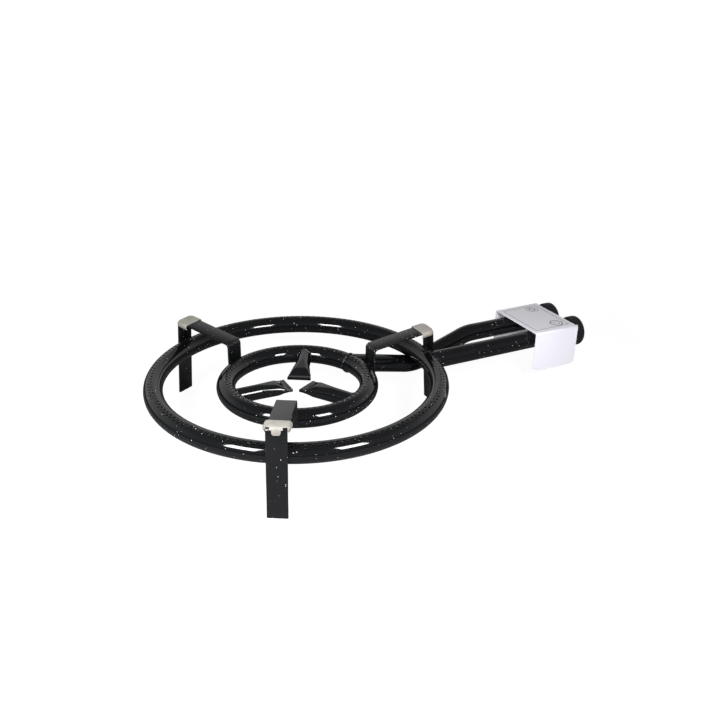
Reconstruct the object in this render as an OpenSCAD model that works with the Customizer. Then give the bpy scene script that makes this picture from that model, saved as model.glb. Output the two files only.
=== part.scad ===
// Paella burner: two rings of enamelled steel tube on three bent flat-bar supports.
// Each ring has its own feed tube, which runs out along the handle to a brass gas tap.
// The floor is z = 0, the handle points along +X, and the ring axis stands at x = axis_x.

/* [Rings] */
// Outside diameter of the outer ring
outer_d = 400; // [380:1:440]
// Outside diameter of the inner ring
inner_d = 214; // [200:1:230]
// Diameter of the ring and feed tubes
tube_d = 25; // [23:0.5:27]
// Wall of the ring and feed tubes
tube_wall = 1.5; // [1:0.1:2]
// Height of the outer ring's centre plane
ring_h = 75; // [70:1:85]
// Depth of the inner ring's centre plane below the outer ring's
inner_drop = 6.4; // [4:0.1:9]
// Gap at a welded seat
weld_gap = 0.1; // [0.05:0.01:0.2]

/* [Flame ports] */
// Diameter of a flame port
port_d = 2.2; // [1.6:0.1:2.6]
// Distance between the ports of a row
port_pitch = 8; // [7:0.5:12]
// Distance of the outer ring's near row from its crown, outwards
outer_near_row = 1.5; // [1:0.1:2]
// Distance of the outer ring's far row from its crown, outwards
outer_far_row = 5; // [4.5:0.1:6]
// Distance of the inner ring's near row from its crown, inwards
inner_near_row = 1; // [0.5:0.1:1.5]
// Distance of the inner ring's far row from its crown, inwards
inner_far_row = 5; // [4.5:0.1:5.5]
// Half length of the plain stretch at the outer ring's feed tube
outer_plain = 16.5; // [16:0.5:24]
// Half length of the plain stretch at the inner ring's feed tube
inner_plain = 6; // [5:0.5:20]

/* [Flame spurs] */
// Diameter of the spur's tube at the ring
spur_d = 20; // [18:0.5:22]
// Wall of the spur
spur_wall = 1.5; // [1:0.1:2]
// Distance of the spur's tip from the ring axis
spur_tip_r = 13.5; // [12:0.5:20]
// Width of the pressed lip
spur_lip_w = 32; // [28:0.5:34]
// Thickness of the pressed lip
spur_lip_t = 4; // [3.5:0.1:6]
// Length of the pressed lip
spur_lip_l = 5; // [3:0.5:8]
// Length over which the tube flattens
spur_taper_l = 36; // [25:1:42]
// Height of the flame slit in the lip
spur_slit = 1.2; // [0.8:0.1:2]

/* [Pan supports] */
// Width of the flat bar
bar_w = 25; // [20:0.5:28]
// Thickness of the flat bar
bar_t = 3; // [2.5:0.1:4]
// Lean of the leg, foot outwards, in degrees
leg_lean = 4.2; // [0:0.1:8]
// Fall of the arm towards the middle, in degrees
arm_fall = 7.9; // [3:0.1:9]
// Height of the bar's outer corner
support_h = 115; // [110:1:130]
// Inside radius of the bar's bends
bar_bend_r = 4; // [3:0.1:6]
// Reach of the drop below the inner ring's centre plane
drop_reach = 5; // [2:0.5:9]

/* [Corner clips] */
// Sheet of the clip
clip_sheet = 1.2; // [0.8:0.1:1.6]
// Distance of the clip's cheeks, outside, from the bar's sides
clip_stand = 5; // [5:0.5:7]
// Length of the clip along the arm
clip_l = 23; // [18:0.5:30]
// Height of the clip's cheeks
clip_cheek_h = 8; // [7:0.5:10]
// Radius of the fold between plate and cheek, outside
clip_fold_r = 5; // [3:0.5:5]
// Radius of the upright corners at the clip's nose, outside
clip_corner_r = 4; // [2.5:0.5:6]
// Radius of the fold between plate and nose, outside
clip_nose_r = 4.5; // [3:0.1:6]
// Width of the tongue at its shoulders
tongue_w = 15; // [12:0.5:17]
// Width of the tongue's tip
tongue_tip_w = 10.5; // [8:0.5:11.5]
// Corner radius of the tongue's tip
tongue_tip_r = 3; // [2:0.1:3.5]
// Reach of the tongue's tip below the clip's top
tongue_reach = 10.5; // [10.5:0.5:14]
// Height of the tongue's shoulders
tongue_shoulder = 1.6; // [1:0.1:2.5]
// Width of the notch on each side of the tongue
notch_w = 4.6; // [3:0.1:5]
// Distance of the notches' tops below the clip's top
notch_top = 2.5; // [2:0.1:3.5]

/* [Feed tubes] */
// Distance between the axes of the two feed tubes
feed_gap = 59; // [57:0.5:66]
// Height of the feed tubes along the handle
feed_h = 77.5; // [75:0.5:90]
// Distance of the tubes' ends from the ring axis
feed_end_x = 392; // [370:1:430]
// Clearance of the swan neck's low bend under the outer ring
neck_clear = 4; // [3:0.5:8]
// Distance of the low bend from the ring axis
neck_low_x = 195; // [190:1:205]
// Distance of the high bend from the ring axis
neck_high_x = 285; // [275:1:310]
// Bend radius of the swan neck
neck_bend_r = 60; // [45:1:80]
// Swell of the tube at the swan neck's bends
neck_swell = 0.1; // [0.05:0.01:0.2]
// Lap of the swan neck's bends over its straight stretches
neck_lap = 1; // [0.5:0.1:2]
// Length of the air window in each tube
window_l = 16; // [12:0.5:18]
// Width of the air window
window_w = 11; // [8:0.5:13]
// Distance from the air window's middle to the tube's end
window_back = 22; // [20:0.5:26]

/* [Taps] */
// Diameter of the tap's barrel
barrel_d = 20; // [19:0.5:22]
// Length of the tap's barrel
barrel_l = 22; // [20:0.5:28]
// Width across the flats of the tap's hexagon
tap_hex = 18; // [17:0.5:19]
// Length of the tap's hexagon
tap_hex_l = 6; // [4:0.5:8]
// Diameter of the outlet nipple
nipple_d = 12; // [11:0.5:13]
// Length of the outlet nipple
nipple_l = 10; // [9:0.5:11]
// Length of the bush in the tube's end
bush_l = 8; // [6:0.5:8.5]
// Diameter of the gas way through the tap
gas_way_d = 5; // [4:0.1:5.5]
// Diameter of the inlet boss
inlet_d = 14; // [13:0.5:15]
// Reach of the inlet boss below the tap's axis
inlet_l = 16; // [14:0.5:18]
// Diameter of the plug's large end
plug_d = 13; // [12:0.5:13.5]
// Diameter of the plug's small end
plug_small_d = 10; // [9:0.5:11]
// Length of the plug
plug_l = 15; // [13:0.5:16]
// Thickness of the barrel's floor
barrel_floor = 5; // [4:0.5:5.5]
// Length of the bonnet's flange
bonnet_l = 6; // [4:0.5:8]
// Diameter of the bonnet's threaded neck
neck_d = 14; // [12:0.5:15]
// Length of the bonnet's neck
neck_l = 8; // [7:0.5:9]
// Diameter of the spindle
spindle_d = 8; // [6:0.1:8.5]
// Depth of the flat on the spindle's end
spindle_flat = 1.5; // [1:0.1:2]
// Radial clearance of turning and sliding fits
fit_clear = 0.05; // [0.02:0.01:0.08]
// Width across the flats of the panel nuts
panel_nut = 19; // [18:0.5:21]
// Thickness of the panel nuts
panel_nut_t = 4; // [3:0.1:4.5]

/* [Injectors] */
// Diameter of the injector's threaded stem
jet_stem_d = 8; // [7:0.1:8.5]
// Length of the injector's stem
jet_stem_l = 6; // [4:0.5:7]
// Width across the flats of the injector's head
jet_hex = 10; // [9:0.5:11]
// Length of the injector's head
jet_hex_l = 6; // [4:0.5:8]
// Length of the injector's tapered nose
jet_nose_l = 8; // [5:0.5:10]
// Diameter of the nose's tip
jet_tip_d = 5; // [4:0.1:6]
// Diameter of the gas jet
jet_d = 1; // [0.8:0.05:1.4]

/* [Gas inlet] */
// Diameter of the manifold pipe
pipe_d = 12; // [10:0.5:13]
// Wall of the manifold pipe
pipe_wall = 1.2; // [1:0.1:1.6]
// Reach of the manifold pipe past each tap's axis
pipe_reach = 8; // [6:0.5:10]
// Diameter of the stub pipes up to the taps
stub_d = 8; // [7:0.1:8.5]
// Reach of the stub pipes into the inlet bosses
stub_reach = 3; // [2:0.1:4]
// Width across the flats of the union nuts
union_nut = 15; // [14.5:0.5:17]
// Height of the union nuts
union_nut_h = 5; // [4:0.5:7]
// Gap between the union nuts and the manifold
union_gap = 0.3; // [0.2:0.1:0.6]
// Diameter of the hose inlet boss
boss_d = 15; // [14:0.5:16]
// Reach of the hose inlet boss from the manifold's axis
boss_l = 10; // [9:0.5:12]
// Thickness of the nozzle's washer
washer_t = 1.5; // [1:0.1:2]
// Width across the flats of the nozzle's hexagon
nozzle_hex = 15; // [14:0.5:16]
// Length of the nozzle's hexagon
nozzle_hex_l = 5; // [4:0.5:6]
// Diameter of the nozzle's threaded stem
nozzle_stem_d = 10; // [9:0.1:10.5]
// Length of the nozzle's stem
nozzle_stem_l = 5; // [4:0.1:5.5]
// Diameter of the hose tail over its ridges
tail_d = 9; // [8:0.1:9.5]
// Diameter of the hose tail in its grooves
tail_groove_d = 7.8; // [7:0.1:7.9]
// Plain length at the hose tail's root
tail_root_l = 5; // [3:0.5:6]
// Length of one ridge of the hose tail
ridge_l = 3.5; // [2.5:0.1:4]
// Ridges on the hose tail
ridges = 3; // [2:1:4]

/* [Cover] */
// Distance of the cover's sides from the tubes' axes
cover_side = 21; // [19.5:0.5:28]
// Length of the cover along the handle
cover_l = 76; // [70:1:90]
// Height of the cover's flaps
cover_h = 60.5; // [55:0.5:70]
// Height of the cover's top above the tubes' axes
cover_rise = 18; // [17:0.5:24]
// Sheet of the cover
cover_sheet = 1.2; // [0.8:0.1:1.5]
// Fold radius of the cover, outside
cover_fold_r = 3; // [2:0.1:4]
// Corner radius of the flaps
flap_corner_r = 8; // [4:0.5:12]
// Reach of the end panel below the tubes' axes
panel_reach = 15; // [13:0.5:16]
// Relief beside the end panel
panel_relief = 3; // [1:0.5:6]
// Clearance of the holes for the tap necks
panel_clear = 0.3; // [0.2:0.1:0.5]

/* [Knobs] */
// Diameter of the knob
knob_d = 44; // [38:0.5:46]
// Thickness of the knob
knob_t = 13; // [12:0.5:18]
// Gap between the knob and the cover
knob_gap = 2; // [1.5:0.1:3]
// Radius of the knob's rounded rim
knob_rim_r = 3; // [2:0.1:4]
// Diameter of the recess behind the knob
knob_recess_d = 32; // [28:0.5:34]
// Depth of the recess behind the knob
knob_recess = 6.5; // [6:0.1:7.5]
// Reach of the spindle into the knob's socket
knob_socket = 4.5; // [3:0.1:5]
// Flutes round the knob
knob_flutes = 30; // [20:1:36]
// Diameter of a flute
knob_flute_d = 3; // [2:0.1:3.5]
// Depth of a flute
knob_flute_deep = 0.8; // [0.4:0.1:1.2]
// Width of the pointer groove on the knob's face
pointer_w = 2; // [1:0.1:3]
// Depth of the pointer groove
pointer_deep = 0.8; // [0.4:0.1:1.2]

/* [Hidden] */

// Overrun of every cut past the face that it opens
over = 2;
// Facets of round pieces, and of the flattened spurs
$fn = 96;
spur_fn = 32;
// Thickness of the slices that a flattened stretch is drawn between
slice = 0.02;
// Angles of the supports and of the spurs round the ring axis
handle_angle = 0;
left_angle = 120;
front_angle = 240;
back_spur_angle = 60;
left_spur_angle = 180;
right_spur_angle = 300;

tube_r = tube_d / 2;
bore_d = tube_d - 2 * tube_wall;
outer_r = outer_d / 2 - tube_r;
inner_r = inner_d / 2 - tube_r;
inner_h = ring_h - inner_drop;
outer_y = -feed_gap / 2;
inner_y = feed_gap / 2;
cover_w = feed_gap + 2 * cover_side;
clip_w = bar_w + 2 * clip_stand;

// The leg's inner face touches the outer ring, the drop's inner face the inner ring.
leg_face = tube_r + weld_gap + bar_t;
leg_point = [outer_r + leg_face * cos(leg_lean), ring_h + leg_face * sin(leg_lean)];
corner_r = leg_point[0] - (support_h - leg_point[1]) * tan(leg_lean);
corner = [corner_r, support_h];
foot = [leg_point[0] + leg_point[1] * tan(leg_lean), 0];
drop_r = inner_r + tube_r + weld_gap;
shoulder = [drop_r, support_h - (corner_r - drop_r) * tan(arm_fall)];
drop_end = [drop_r, inner_h - drop_reach];
bend_out_r = bar_bend_r + bar_t;
corner_turn = 90 + arm_fall - leg_lean;
shoulder_turn = 90 - arm_fall;

// The swan neck's points in the plane of its tube, from the inner ring to the tap.
neck_start = [sqrt(inner_r * inner_r - inner_y * inner_y), inner_h];
neck_low = [neck_low_x, ring_h - tube_d - neck_clear];
neck_high = [neck_high_x, feed_h];
neck_in_angle = atan2(neck_low[1] - neck_start[1], neck_low[0] - neck_start[0]);
neck_up_angle = atan2(neck_high[1] - neck_low[1], neck_high[0] - neck_low[0]);

// Stations along the handle.
bush_x = feed_end_x - bush_l;
nipple_x = feed_end_x - nipple_l;
barrel_x = feed_end_x + tap_hex_l;
floor_x = barrel_x + barrel_floor;
bonnet_x = barrel_x + barrel_l;
panel_x = bonnet_x + bonnet_l;
cover_end_x = panel_x + cover_sheet;
knob_x = cover_end_x + knob_gap;
knob_end_x = knob_x + knob_t;
spindle_end_x = knob_x + knob_recess + knob_socket;
inlet_x = barrel_x + barrel_l / 2;
plug_play = (barrel_l - barrel_floor - plug_l) / 4;
plug_x = floor_x + plug_play;
plug_taper = (plug_d - plug_small_d) / plug_l;

// Levels of the gas inlet.
inlet_h = feed_h - inlet_l;
pipe_h = inlet_h - union_nut_h - union_gap - pipe_d / 2;
boss_x = inlet_x + boss_l;
nozzle_x = boss_x + washer_t;
tail_x = nozzle_x + nozzle_hex_l;
tail_end_x = tail_x + tail_root_l + ridges * ridge_l;

// The ring axis lies back from the middle of the part's length.
axis_x = (outer_d / 2 - knob_end_x) / 2;

module placed() {
  translate([axis_x, 0, 0]) children();
}

// A cylinder along +X from x
module rod(x, l, d) {
  translate([x, 0, 0]) rotate([0, 90, 0]) cylinder(d = d, h = l);
}

// A hexagon bar along +X from x, with two flats upright
module hex_rod(x, l, flats) {
  translate([x, 0, 0]) rotate([0, 90, 0]) cylinder(d = flats / cos(30), h = l, $fn = 6);
}

module at_tap(y) {
  translate([0, y, feed_h]) children();
}

// A rectangle from the line y = 0 upwards, with its two upper corners rounded
module round_top(w, h, r) {
  translate([-w / 2, 0]) square([w, h - r]);
  translate([-w / 2 + r, 0]) square([w - 2 * r, h]);
  for (side = [-1, 1])
    translate([side * (w / 2 - r), h - r]) circle(r);
}

// The space inside a sheet that comes along +X, turns down round the origin and runs on
module fold_space(r, turn, run) {
  end = r * [sin(turn), cos(turn)];
  tip = end + run * [cos(turn), -sin(turn)];
  polygon([[-run, tip[1]], [-run, r], [0, r], end, tip]);
  circle(r);
}

// The side view of that sheet, which reaches past its fold by run on both sides
module fold_profile(r_out, sheet, turn, run) {
  difference() {
    fold_space(r_out, turn, run);
    fold_space(r_out - sheet, turn, run + over);
  }
}

// Rings

module ring_solid(r, h, d) {
  translate([0, 0, h])
    rotate_extrude() translate([r, 0]) circle(d = d);
}

module ring_tube(r, h) {
  translate([0, 0, h])
    rotate_extrude()
      translate([r, 0])
        difference() {
          circle(d = tube_d);
          circle(d = bore_d);
        }
}

// Staggered rows of ports, each row at its arc distance outwards from the crown.
// The stretch at the feed tube, at inlet_y, stays plain.
module flame_ports(r, h, rows, inlet_y, plain) {
  step = 360 / round(2 * PI * r / port_pitch);
  plain_angle = plain / r * 180 / PI;
  for (row = [0 : len(rows) - 1], at = [row * step / 2 : step : 360 - step / 4])
    if (at > plain_angle && at < 360 - plain_angle)
      rotate([0, 0, asin(inlet_y / r) + at])
        translate([r, 0, h])
          rotate([0, rows[row] / tube_r * 180 / PI, 0])
            rotate([0, 0, 90]) cylinder(d = port_d, h = tube_d);
}

module outer_ring() {
  color("#1b1c1e") placed()
    difference() {
      ring_tube(outer_r, ring_h);
      flame_ports(outer_r, ring_h, [outer_near_row, outer_far_row], outer_y, outer_plain);
      at_tap(outer_y) rod(sqrt(outer_r * outer_r - outer_y * outer_y), tube_d, bore_d);
    }
}

module inner_ring() {
  color("#1b1c1e") placed()
    difference() {
      ring_tube(inner_r, inner_h);
      flame_ports(inner_r, inner_h, [-inner_near_row, -inner_far_row], inner_y, inner_plain);
      neck_frame(neck_start, neck_in_angle) rod(0, tube_d, bore_d);
      for (angle = [back_spur_angle, left_spur_angle, right_spur_angle])
        rotate([0, 0, angle]) translate([0, 0, inner_h])
          rod(inner_r - tube_d, tube_d, spur_d - 2 * spur_wall);
    }
}

// Flame spurs: a tube end pressed flat to a lip with a slit

module spur_form(d, lip_w, lip_t, end_r) {
  flat_r = spur_tip_r + spur_lip_l;
  round_r = flat_r + spur_taper_l;
  rod(round_r, inner_r - round_r, d, $fn = spur_fn);
  hull() {
    rod(round_r, slice, d, $fn = spur_fn);
    translate([flat_r, -lip_w / 2, -lip_t / 2]) cube([slice, lip_w, lip_t]);
  }
  translate([end_r, -lip_w / 2, -lip_t / 2]) cube([flat_r - end_r + slice, lip_w, lip_t]);
}

module spur(at) {
  color("#202124") placed()
    rotate([0, 0, at])
      difference() {
        translate([0, 0, inner_h])
          difference() {
            spur_form(spur_d, spur_lip_w, spur_lip_t, spur_tip_r);
            spur_form(spur_d - 2 * spur_wall, spur_lip_w - 2 * spur_wall, spur_slit, spur_tip_r - over);
          }
        ring_solid(inner_r, inner_h, tube_d + 2 * weld_gap);
      }
}

module spur_back() { spur(back_spur_angle); }

module spur_left() { spur(left_spur_angle); }

module spur_right() { spur(right_spur_angle); }

// Feed tubes

// The air window: a round-ended slot through the top and the underside of the tube
module air_window() {
  slot_l = window_l - window_w;
  translate([feed_end_x - window_back, 0, 0])
    linear_extrude(tube_d + over, center = true) {
      square([slot_l, window_w], center = true);
      for (end = [-1, 1])
        translate([end * slot_l / 2, 0]) circle(d = window_w);
    }
}

module outer_feed_tube() {
  color("#1b1c1e") placed()
    difference() {
      at_tap(outer_y)
        difference() {
          rod(outer_r, feed_end_x - outer_r, tube_d);
          rod(outer_r - over, feed_end_x - outer_r + 2 * over, bore_d);
          air_window();
        }
      ring_solid(outer_r, ring_h, tube_d + 2 * weld_gap);
    }
}

// Stands a rod's frame at a point of the swan neck's plane, along the given slope
module neck_frame(point, angle) {
  translate([point[0], inner_y, point[1]]) rotate([0, -angle, 0]) children();
}

// A bend of the swan neck that starts at the frame's origin, along +X, and turns up or down.
// It is swollen a little by the bending, and laps the straight stretches.
module neck_bend(turn, d) {
  side = sign(turn);
  lap = asin(neck_lap / neck_bend_r);
  translate([0, 0, side * neck_bend_r])
    rotate([90, 0, 0])
      rotate([0, 0, -side * 90 + min(turn, 0) - lap])
        rotate_extrude(angle = abs(turn) + 2 * lap)
          translate([neck_bend_r, 0]) circle(d = d + 2 * neck_swell);
}

module neck_form(d, end_x) {
  low_turn = neck_up_angle - neck_in_angle;
  low_cut = neck_bend_r * tan(low_turn / 2);
  high_cut = neck_bend_r * tan(neck_up_angle / 2);
  in_l = norm(neck_low - neck_start) - low_cut;
  up_l = norm(neck_high - neck_low) - low_cut - high_cut;
  neck_frame(neck_start, neck_in_angle) rod(0, in_l, d);
  neck_frame(neck_low, neck_in_angle) translate([-low_cut, 0, 0]) neck_bend(low_turn, d);
  neck_frame(neck_low, neck_up_angle) rod(low_cut, up_l, d);
  neck_frame(neck_high, neck_up_angle) translate([-high_cut, 0, 0]) neck_bend(-neck_up_angle, d);
  neck_frame(neck_high, 0) rod(high_cut, end_x - neck_high_x - high_cut, d);
}

module inner_feed_tube() {
  color("#1b1c1e") placed()
    difference() {
      neck_form(tube_d, feed_end_x);
      neck_form(bore_d, feed_end_x + over);
      at_tap(inner_y) air_window();
      ring_solid(inner_r, inner_h, tube_d + 2 * weld_gap);
    }
}

// Pan supports: one flat bar, bent twice

// A point at distance l along a bearing
function along(l, bearing) = l * [cos(bearing), sin(bearing)];

// The space under a bent bar whose face lies deep below the bar's outer face
module bar_space(deep, foot_point, end_points) {
  r = bend_out_r - deep;
  up = 90 + leg_lean;
  inwards = 180 + arm_fall;
  down = 270;
  corner_cut = bend_out_r * tan(corner_turn / 2);
  shoulder_cut = bend_out_r * tan(shoulder_turn / 2);
  corner_at = corner - along(corner_cut, up) + along(bend_out_r, up + 90);
  shoulder_at = shoulder - along(shoulder_cut, inwards) + along(bend_out_r, inwards + 90);
  polygon(concat(
    [
      foot_point,
      corner_at - along(r, up + 90), corner_at - along(r, inwards + 90),
      shoulder_at - along(r, inwards + 90), shoulder_at - along(r, down + 90)
    ],
    end_points
  ));
  translate(corner_at) circle(r);
  translate(shoulder_at) circle(r);
}

module bar_outline() {
  inside_r = drop_r + 2 * bar_t;
  foot_inner = foot - [bar_t / cos(leg_lean), 0];
  difference() {
    bar_space(0, foot, [drop_end, [inside_r, drop_end[1]], [inside_r, 0]]);
    bar_space(bar_t, foot_inner + over * [tan(leg_lean), -1], [[drop_r + bar_t, -over]]);
  }
}

module support(at) {
  color("#26272a") placed()
    rotate([0, 0, at]) rotate([90, 0, 0])
      linear_extrude(bar_w, center = true) bar_outline();
}

module support_handle() { support(handle_angle); }

module support_left() { support(left_angle); }

module support_front() { support(front_angle); }

// Corner clips: a drawn sheet cap over the bar's outer corner, in the arm's own frame

// The clip's outer form drawn in by grow, and run past its open rear and foot by past
module clip_form(grow, past) {
  length = clip_l + clip_sheet + past - grow;
  height = tongue_reach + past - grow;
  wide = clip_w - 2 * grow;
  nose_r = clip_nose_r - grow;
  intersection() {
    // Across the arm: plate and two cheeks
    translate([-clip_l - past, 0, clip_sheet - tongue_reach - past])
      rotate([90, 0, 90]) linear_extrude(length) round_top(wide, height, clip_fold_r - grow);
    // Plan: the nose's rounded corners
    translate([-clip_l - past, 0, clip_sheet - tongue_reach - past])
      linear_extrude(height) rotate(-90) round_top(wide, length, clip_corner_r - grow);
    // Side: the rounded nose
    translate([clip_sheet - grow, 0, clip_sheet - grow])
      rotate([90, 0, 0])
        linear_extrude(wide, center = true) {
          translate([-length, -height]) square([length - nose_r, height]);
          translate([-length, -height]) square([length, height - nose_r]);
          translate([-nose_r, -nose_r]) circle(nose_r);
        }
  }
}

// Front view of what is cut away: below the cheeks, and the notches beside the tongue
module clip_trim() {
  below = tongue_reach + over;
  shoulder_h = tongue_reach - notch_top - tongue_shoulder;
  translate([0, clip_sheet])
    difference() {
      union() {
        translate([-clip_w, -below]) square([2 * clip_w, below - clip_cheek_h]);
        translate([-tongue_w / 2 - notch_w, -below]) square([tongue_w + 2 * notch_w, below - notch_top]);
      }
      translate([0, -notch_top]) mirror([0, 1])
        round_top(tongue_tip_w, tongue_reach - notch_top, tongue_tip_r);
      translate([-tongue_w / 2, shoulder_h - tongue_reach]) square([tongue_w, tongue_reach]);
    }
}

module clip(at) {
  color("#b8b5ae") placed()
    rotate([0, 0, at])
      translate([corner_r, 0, support_h])
        rotate([0, -arm_fall, 0])
          translate([weld_gap, 0, weld_gap])
            difference() {
              clip_form(0, 0);
              clip_form(clip_sheet, over);
              translate([-clip_l - over, 0, 0])
                rotate([90, 0, 90]) linear_extrude(clip_l + clip_sheet + 2 * over) clip_trim();
            }
}

module clip_handle() { clip(handle_angle); }

module clip_left() { clip(left_angle); }

module clip_front() { clip(front_angle); }

// Taps

module end_bush(y) {
  color("#8d8f92") placed() at_tap(y)
    difference() {
      rod(bush_x, bush_l, bore_d - 2 * fit_clear);
      rod(bush_x - over, bush_l + 2 * over, nipple_d + 2 * fit_clear);
    }
}

module outer_end_bush() { end_bush(outer_y); }

module inner_end_bush() { end_bush(inner_y); }

module injector(y) {
  head_x = nipple_x - jet_hex_l;
  tip_x = head_x - jet_nose_l;
  color("#c9a24b") placed() at_tap(y)
    difference() {
      union() {
        rod(nipple_x, jet_stem_l, jet_stem_d - 2 * fit_clear);
        hex_rod(head_x, jet_hex_l, jet_hex);
        translate([tip_x, 0, 0]) rotate([0, 90, 0]) cylinder(d1 = jet_tip_d, d2 = jet_hex, h = jet_nose_l);
      }
      rod(tip_x - over, jet_nose_l + jet_hex_l + 2 * over, jet_d);
      rod(head_x, jet_hex_l + jet_stem_l + over, jet_tip_d - 2 * jet_d);
    }
}

module outer_injector() { injector(outer_y); }

module inner_injector() { injector(inner_y); }

// The plug's cone, grown by a clearance and carried on to both given stations
module plug_cone(x, l, grow) {
  start_d = plug_small_d + (x - plug_x) * plug_taper + 2 * grow;
  translate([x, 0, 0]) rotate([0, 90, 0]) cylinder(d1 = start_d, d2 = start_d + l * plug_taper, h = l);
}

module tap_body(y) {
  color("#b8923f") placed() at_tap(y)
    difference() {
      union() {
        rod(nipple_x, nipple_l, nipple_d);
        hex_rod(feed_end_x, tap_hex_l, tap_hex);
        rod(barrel_x, barrel_l, barrel_d);
        translate([inlet_x, 0, -inlet_l]) cylinder(d = inlet_d, h = inlet_l);
      }
      plug_cone(floor_x, barrel_l - barrel_floor, fit_clear);
      rod(nipple_x - over, nipple_l + tap_hex_l + barrel_floor + 2 * over, gas_way_d);
      rod(nipple_x - over, jet_stem_l + over, jet_stem_d);
      translate([inlet_x, 0, -inlet_l]) cylinder(d = gas_way_d, h = inlet_l);
      translate([inlet_x, 0, -inlet_l - over]) cylinder(d = stub_d + 2 * fit_clear, h = stub_reach + over);
    }
}

module outer_tap_body() { tap_body(outer_y); }

module inner_tap_body() { tap_body(inner_y); }

module bonnet(y) {
  color("#c3a050") placed() at_tap(y)
    difference() {
      union() {
        rod(bonnet_x, bonnet_l, barrel_d);
        rod(panel_x, neck_l, neck_d);
      }
      rod(bonnet_x - over, bonnet_l + neck_l + 2 * over, spindle_d + 2 * fit_clear);
    }
}

module outer_bonnet() { bonnet(outer_y); }

module inner_bonnet() { bonnet(inner_y); }

// A spindle section with its flat, along +X
module spindle_end(x, l, grow) {
  difference() {
    rod(x, l, spindle_d + 2 * grow);
    translate([x - over, -spindle_d, spindle_d / 2 - spindle_flat + grow])
      cube([l + 2 * over, 2 * spindle_d, spindle_d]);
  }
}

module plug(y) {
  plug_end_x = plug_x + plug_l;
  neck_end_x = panel_x + neck_l;
  color("#d0ae62") placed() at_tap(y)
    difference() {
      union() {
        plug_cone(plug_x, plug_l, 0);
        rod(plug_end_x, neck_end_x - plug_end_x, spindle_d);
        spindle_end(neck_end_x, spindle_end_x - neck_end_x, 0);
      }
      rod(plug_x - over, inlet_x - plug_x + over, gas_way_d);
      translate([inlet_x, 0, -plug_d]) cylinder(d = gas_way_d, h = plug_d);
    }
}

module outer_plug() { plug(outer_y); }

module inner_plug() { plug(inner_y); }

// Hexagon nuts on the bonnets' necks, outside the cover's end panel
module panel_nuts() {
  color("#c9ccce") placed()
    for (y = [outer_y, inner_y])
      at_tap(y)
        difference() {
          hex_rod(cover_end_x, panel_nut_t, panel_nut);
          rod(cover_end_x - over, panel_nut_t + 2 * over, neck_d + 2 * fit_clear);
        }
}

// Knobs

module knob(y) {
  rim_r = knob_d / 2;
  face_x = knob_x + knob_t;
  color("#17181a") placed() at_tap(y)
    difference() {
      translate([knob_x, 0, 0])
        rotate([0, 90, 0])
          rotate_extrude() {
            square([rim_r - knob_rim_r, knob_t]);
            square([rim_r, knob_t - knob_rim_r]);
            translate([rim_r - knob_rim_r, knob_t - knob_rim_r]) circle(knob_rim_r);
          }
      rod(knob_x - over, knob_recess + over, knob_recess_d);
      spindle_end(knob_x, knob_recess + knob_socket + fit_clear, fit_clear);
      for (i = [0 : knob_flutes - 1])
        rotate([i * 360 / knob_flutes, 0, 0])
          translate([0, 0, rim_r + knob_flute_d / 2 - knob_flute_deep])
            rod(knob_x - over, knob_t + 2 * over, knob_flute_d, $fn = 24);
      translate([face_x - pointer_deep, -pointer_w / 2, spindle_d])
        cube([pointer_deep + over, pointer_w, rim_r]);
    }
}

module outer_knob() { knob(outer_y); }

module inner_knob() { knob(inner_y); }

// Gas inlet

module gas_manifold() {
  stub_l = inlet_h + stub_reach - pipe_h;
  pipe_l = feed_gap + 2 * pipe_reach;
  color("#a9a294") placed() translate([inlet_x, 0, pipe_h])
    difference() {
      union() {
        rotate([90, 0, 0]) cylinder(d = pipe_d, h = pipe_l, center = true);
        for (y = [outer_y, inner_y])
          translate([0, y, 0]) cylinder(d = stub_d, h = stub_l);
        rod(0, boss_l, boss_d);
      }
      rotate([90, 0, 0]) cylinder(d = pipe_d - 2 * pipe_wall, h = pipe_l - 2 * pipe_wall, center = true);
      for (y = [outer_y, inner_y])
        translate([0, y, 0]) cylinder(d = gas_way_d, h = stub_l + over);
      rod(0, boss_l + over, gas_way_d);
      rod(boss_l - nozzle_stem_l, nozzle_stem_l + over, nozzle_stem_d + 2 * fit_clear);
    }
}

module union_nuts() {
  color("#b8923f") placed()
    for (y = [outer_y, inner_y])
      translate([inlet_x, y, inlet_h - union_nut_h])
        difference() {
          cylinder(d = union_nut / cos(30), h = union_nut_h, $fn = 6);
          translate([0, 0, -over]) cylinder(d = stub_d + 2 * fit_clear, h = union_nut_h + 2 * over);
        }
}

module nozzle_washer() {
  color("#1c1c1e") placed() translate([0, 0, pipe_h])
    difference() {
      rod(boss_x, washer_t, boss_d);
      rod(boss_x - over, washer_t + 2 * over, nozzle_stem_d + 2 * fit_clear);
    }
}

// The hose tail: a plain root, then ridges that fall away towards the free end
module hose_nozzle() {
  ridge_land = ridge_l / 3;
  color("#c9a24b") placed() translate([0, 0, pipe_h])
    difference() {
      union() {
        rod(nozzle_x - nozzle_stem_l, nozzle_stem_l, nozzle_stem_d);
        hex_rod(nozzle_x, nozzle_hex_l, nozzle_hex);
        rod(tail_x, tail_root_l, tail_d);
        for (i = [0 : ridges - 1])
          translate([tail_x + tail_root_l + i * ridge_l, 0, 0])
            rotate([0, 90, 0]) {
              cylinder(d = tail_groove_d, h = ridge_land);
              translate([0, 0, ridge_land]) cylinder(d = tail_d, h = ridge_land);
              translate([0, 0, 2 * ridge_land])
                cylinder(d1 = tail_d, d2 = tail_groove_d, h = ridge_l - 2 * ridge_land);
            }
      }
      rod(nozzle_x - nozzle_stem_l - over, tail_end_x - nozzle_x + nozzle_stem_l + 2 * over, gas_way_d);
    }
}

// Cover: a folded sheet, open below and towards the rings, with an end panel held by the tap necks

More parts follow.
